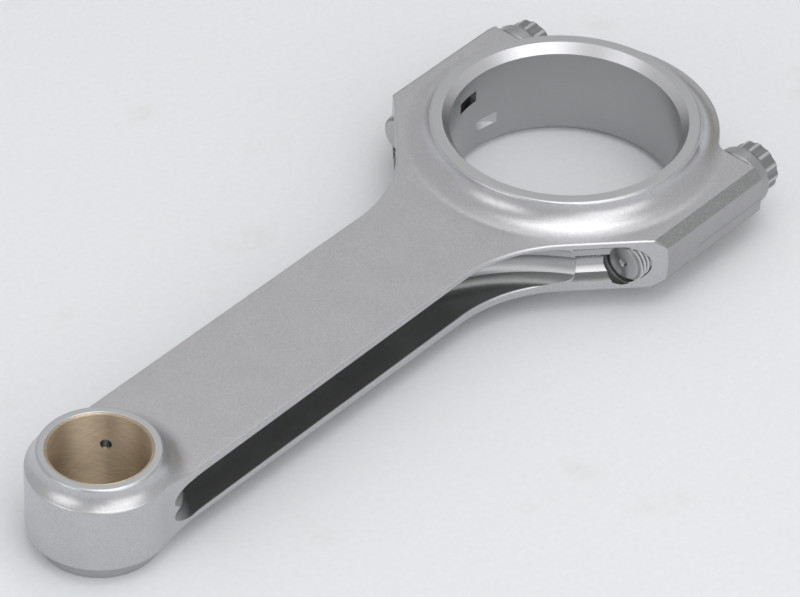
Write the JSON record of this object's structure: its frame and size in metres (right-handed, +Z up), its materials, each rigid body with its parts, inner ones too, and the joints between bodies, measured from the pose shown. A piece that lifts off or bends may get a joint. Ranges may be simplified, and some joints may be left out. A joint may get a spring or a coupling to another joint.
{
  "type": "connecting rod",
  "caption": "H-beam connecting rod with a bolted bearing cap, hollow alignment sleeves and a bronze pin bush.",
  "frame": {"origin": "centre of the bounding box at the plane of the lower thrust faces the rod lies on", "axes": "+Z up along both bore axes, +X along the rod from the pin end to the cap"},
  "size_m": [0.2332, 0.0918, 0.028],
  "materials": {
    "rod_steel": "satin shot-peened forged steel",
    "cap_steel": "satin shot-peened forged steel",
    "bush_bronze": "honed bronze",
    "sleeve_steel": "ground steel",
    "bolt_steel": "dark alloy steel with rolled threads"
  },
  "bodies": {
    "rod": {"rod_body": "rod_steel", "pin_bushing": "bush_bronze", "alignment_sleeve_left": "sleeve_steel", "alignment_sleeve_right": "sleeve_steel"},
    "cap": {"rod_cap": "cap_steel"},
    "bolt_left": {"cap_bolt_left": "bolt_steel"},
    "bolt_right": {"cap_bolt_right": "bolt_steel"}
  },
  "joints": [
    {"name": "cap_lift", "type": "slide", "parent": "rod", "child": "cap", "axis": [1, 0, 0], "range_m": [0, 0.06]},
    {"name": "bolt_left_draw", "type": "slide", "parent": "cap", "child": "bolt_left", "axis": [1, 0, 0], "range_m": [0, 0.048]},
    {"name": "bolt_right_draw", "type": "slide", "parent": "cap", "child": "bolt_right", "axis": [1, 0, 0], "range_m": [0, 0.048]}
  ]
}
